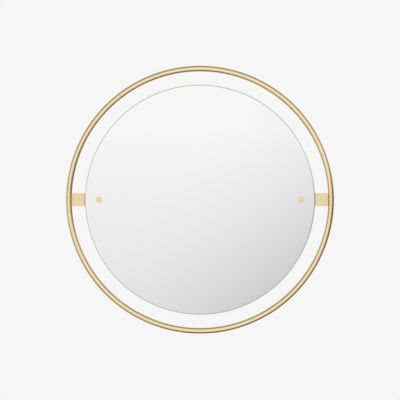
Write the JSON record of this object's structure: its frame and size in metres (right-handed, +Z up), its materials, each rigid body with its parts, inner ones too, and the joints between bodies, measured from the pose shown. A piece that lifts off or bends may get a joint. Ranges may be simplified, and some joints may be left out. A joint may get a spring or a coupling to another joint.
{
  "type": "tilting wall mirror",
  "caption": "Round wall mirror held at both sides in a brass ring on wall posts; the glass tilts about its horizontal diameter.",
  "frame": {"origin": "centre of the four wall fixings, on the face of the wall", "axes": "+Z up, +Y into the wall, so that the mirror faces -Y; +X to the right from the front"},
  "size_m": [0.6, 0.057, 0.5998],
  "materials": {
    "polished_brass": "polished",
    "satin_brass": "satin",
    "silvered_glass": "polished",
    "anodised_aluminium": "satin",
    "zinc_plated_steel": "satin",
    "black_steel": "satin",
    "stainless_steel": "polished",
    "acetal": "satin",
    "nylon": "satin",
    "foam": "matte",
    "bumper_rubber": "matte"
  },
  "bodies": {
    "ring_frame": {"friction_bush_left": "acetal", "friction_bush_right": "acetal", "friction_screw_left": "black_steel", "friction_screw_right": "black_steel", "pivot_block_left": "satin_brass", "pivot_block_right": "satin_brass", "post_anchor_lower_left": "zinc_plated_steel", "post_anchor_lower_right": "zinc_plated_steel", "post_anchor_upper_left": "zinc_plated_steel", "post_anchor_upper_right": "zinc_plated_steel", "post_set_screw_lower_left": "black_steel", "post_set_screw_lower_right": "black_steel", "post_set_screw_upper_left": "black_steel", "post_set_screw_upper_right": "black_steel", "post_stud_lower_left": "zinc_plated_steel", "post_stud_lower_right": "zinc_plated_steel", "post_stud_upper_left": "zinc_plated_steel", "post_stud_upper_right": "zinc_plated_steel", "ring_tube_lower": "polished_brass", "ring_tube_upper": "polished_brass", "wall_post_lower_left": "polished_brass", "wall_post_lower_right": "polished_brass", "wall_post_upper_left": "polished_brass", "wall_post_upper_right": "polished_brass", "wall_spigot_lower_left": "zinc_plated_steel", "wall_spigot_lower_right": "zinc_plated_steel", "wall_spigot_upper_left": "zinc_plated_steel", "wall_spigot_upper_right": "zinc_plated_steel"},
    "mirror_panel": {"back_plate": "anodised_aluminium", "bracket_screws_left": "zinc_plated_steel", "bracket_screws_right": "zinc_plated_steel", "bumpers_lower": "bumper_rubber", "bumpers_upper": "bumper_rubber", "foam_tape": "foam", "glass_pad_left": "nylon", "glass_pad_right": "nylon", "glass_screw_left": "zinc_plated_steel", "glass_screw_right": "zinc_plated_steel", "glass_sleeve_left": "nylon", "glass_sleeve_right": "nylon", "lock_nut_left": "zinc_plated_steel", "lock_nut_right": "zinc_plated_steel", "mirror_glass": "silvered_glass", "pivot_pin_left": "stainless_steel", "pivot_pin_right": "stainless_steel", "screw_cap_left": "satin_brass", "screw_cap_right": "satin_brass", "side_bracket_left": "satin_brass", "side_bracket_right": "satin_brass", "thrust_washer_left": "acetal", "thrust_washer_right": "acetal"}
  },
  "joints": [
    {"name": "mirror_tilt", "type": "hinge", "parent": "ring_frame", "child": "mirror_panel", "pos_m": [0, -0.048, 0], "axis": [1, 0, 0], "range_deg": [-10, 10]}
  ]
}
